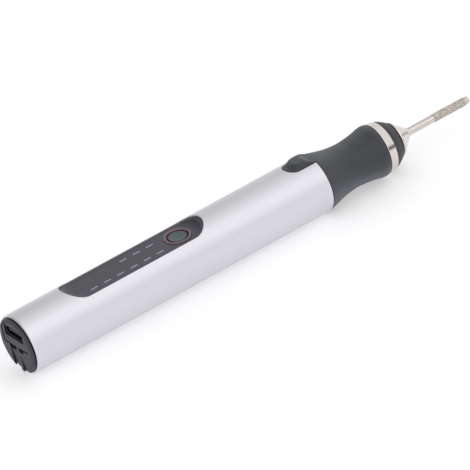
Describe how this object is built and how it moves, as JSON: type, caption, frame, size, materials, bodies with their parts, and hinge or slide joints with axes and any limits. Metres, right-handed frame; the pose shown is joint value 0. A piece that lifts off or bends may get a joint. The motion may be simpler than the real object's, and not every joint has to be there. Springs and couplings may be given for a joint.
{
  "type": "electric engraving pen",
  "caption": "Cordless engraving pen: metal tube with a sunk control panel, a waisted soft grip, and a collet nose that spins an abrasive bit.",
  "frame": {"origin": "on the surface that the pen lies on, under the middle of its length from the tail cap to the bit's tip", "axes": "+X along the pen towards the bit's tip, +Z out of the control panel, +Y to the left seen from the tail"},
  "size_m": [0.1598, 0.018, 0.0189],
  "materials": {
    "satin_metal": "satin, silver grey",
    "dark_plastic": "fine satin, dark grey",
    "panel_plastic": "satin, dark grey",
    "red_clear": "see-through red, glossy",
    "grey_button": "fine satin, blue grey",
    "milky_clear": "milky, satin",
    "soft_grip": "soft touch, charcoal",
    "polished_metal": "polished",
    "tool_steel": "ground bright",
    "grit_metal": "abrasive grit in nickel",
    "steel": "turned",
    "nickel": "nickel plated",
    "copper": "enamelled windings and plain copper",
    "bronze": "sintered",
    "dark_magnet": "matt",
    "battery_wrap": "shrunk film, blue",
    "green_board": "green resist",
    "black_plastic": "moulded",
    "white_plastic": "moulded",
    "felt": "pressed felt",
    "red_wire": "insulation, red",
    "black_wire": "insulation, black"
  },
  "bodies": {
    "casing": {"body_tube": "satin_metal", "tail_cap": "dark_plastic", "port_bezel": "dark_plastic", "socket_shell": "steel", "socket_tongue": "black_plastic", "control_panel": "panel_plastic", "button_ring": "red_clear", "level_light_guide": "milky_clear", "speed_light_guide": "milky_clear", "grip_sleeve": "soft_grip", "trim_ring": "polished_metal", "nose_cap": "dark_plastic", "circuit_board": "green_board", "push_switch_body": "steel", "level_light_bar": "white_plastic", "speed_light_bar": "white_plastic", "ring_light": "white_plastic", "microcontroller": "black_plastic", "motor_driver_chip": "black_plastic", "charge_chip": "black_plastic", "boost_inductor": "dark_magnet", "battery_cell": "battery_wrap", "battery_negative_tab": "nickel", "battery_positive_tab": "nickel", "battery_pad": "felt", "chassis": "white_plastic", "motor_can": "steel", "motor_end_bell": "black_plastic", "motor_terminal_left": "copper", "motor_terminal_right": "copper", "motor_magnet": "dark_magnet", "motor_front_bush": "bronze", "motor_screw_left": "steel", "motor_screw_right": "steel", "battery_lead_negative": "black_wire", "battery_lead_positive": "red_wire", "motor_lead_left": "red_wire", "motor_lead_right": "black_wire", "front_core": "black_plastic", "rear_bearing_outer_ring": "steel", "front_bearing_outer_ring": "steel", "bearing_spacer": "satin_metal", "bearing_retainer": "steel", "dust_seal": "felt"},
    "power_button": {"power_button": "grey_button", "push_switch_plunger": "black_plastic"},
    "spindle": {"motor_armature": "copper", "motor_shaft": "steel", "shaft_coupling": "black_plastic", "spindle_shaft": "steel", "rear_bearing_inner_ring": "steel", "front_bearing_inner_ring": "steel"},
    "bearing_cages": {"rear_bearing_balls": "nickel", "front_bearing_balls": "nickel"},
    "collet": {"collet": "steel"},
    "collet_nut": {"collet_nut": "polished_metal"},
    "bit": {"bit_shank": "tool_steel", "bit_head": "grit_metal"}
  },
  "joints": [
    {"name": "power_press", "type": "slide", "parent": "casing", "child": "power_button", "axis": [0, 0, -1], "range_m": [0, 0.00035], "stiffness_N_per_m": 1500},
    {"name": "spindle_spin", "type": "hinge", "parent": "casing", "child": "spindle", "pos_m": [0.03, 0, 0.00898], "axis": [1, 0, 0], "continuous": true},
    {"name": "cage_spin", "type": "hinge", "parent": "casing", "child": "bearing_cages", "pos_m": [0.03, 0, 0.00898], "axis": [1, 0, 0], "continuous": true},
    {"name": "collet_slide", "type": "slide", "parent": "spindle", "child": "collet", "axis": [1, 0, 0], "range_m": [0, 0.0005]},
    {"name": "collet_nut_turn", "type": "hinge", "parent": "collet", "child": "collet_nut", "pos_m": [0.055, 0, 0.00898], "axis": [1, 0, 0], "range_deg": [0, 360]},
    {"name": "bit_pull", "type": "slide", "parent": "spindle", "child": "bit", "axis": [1, 0, 0], "range_m": [0, 0.023]}
  ],
  "couplings": [
    {"joint": "cage_spin", "follows": "spindle_spin", "ratio": 0.443},
    {"joint": "collet_nut_turn", "follows": "collet_slide", "rad_per_m": 12566}
  ]
}
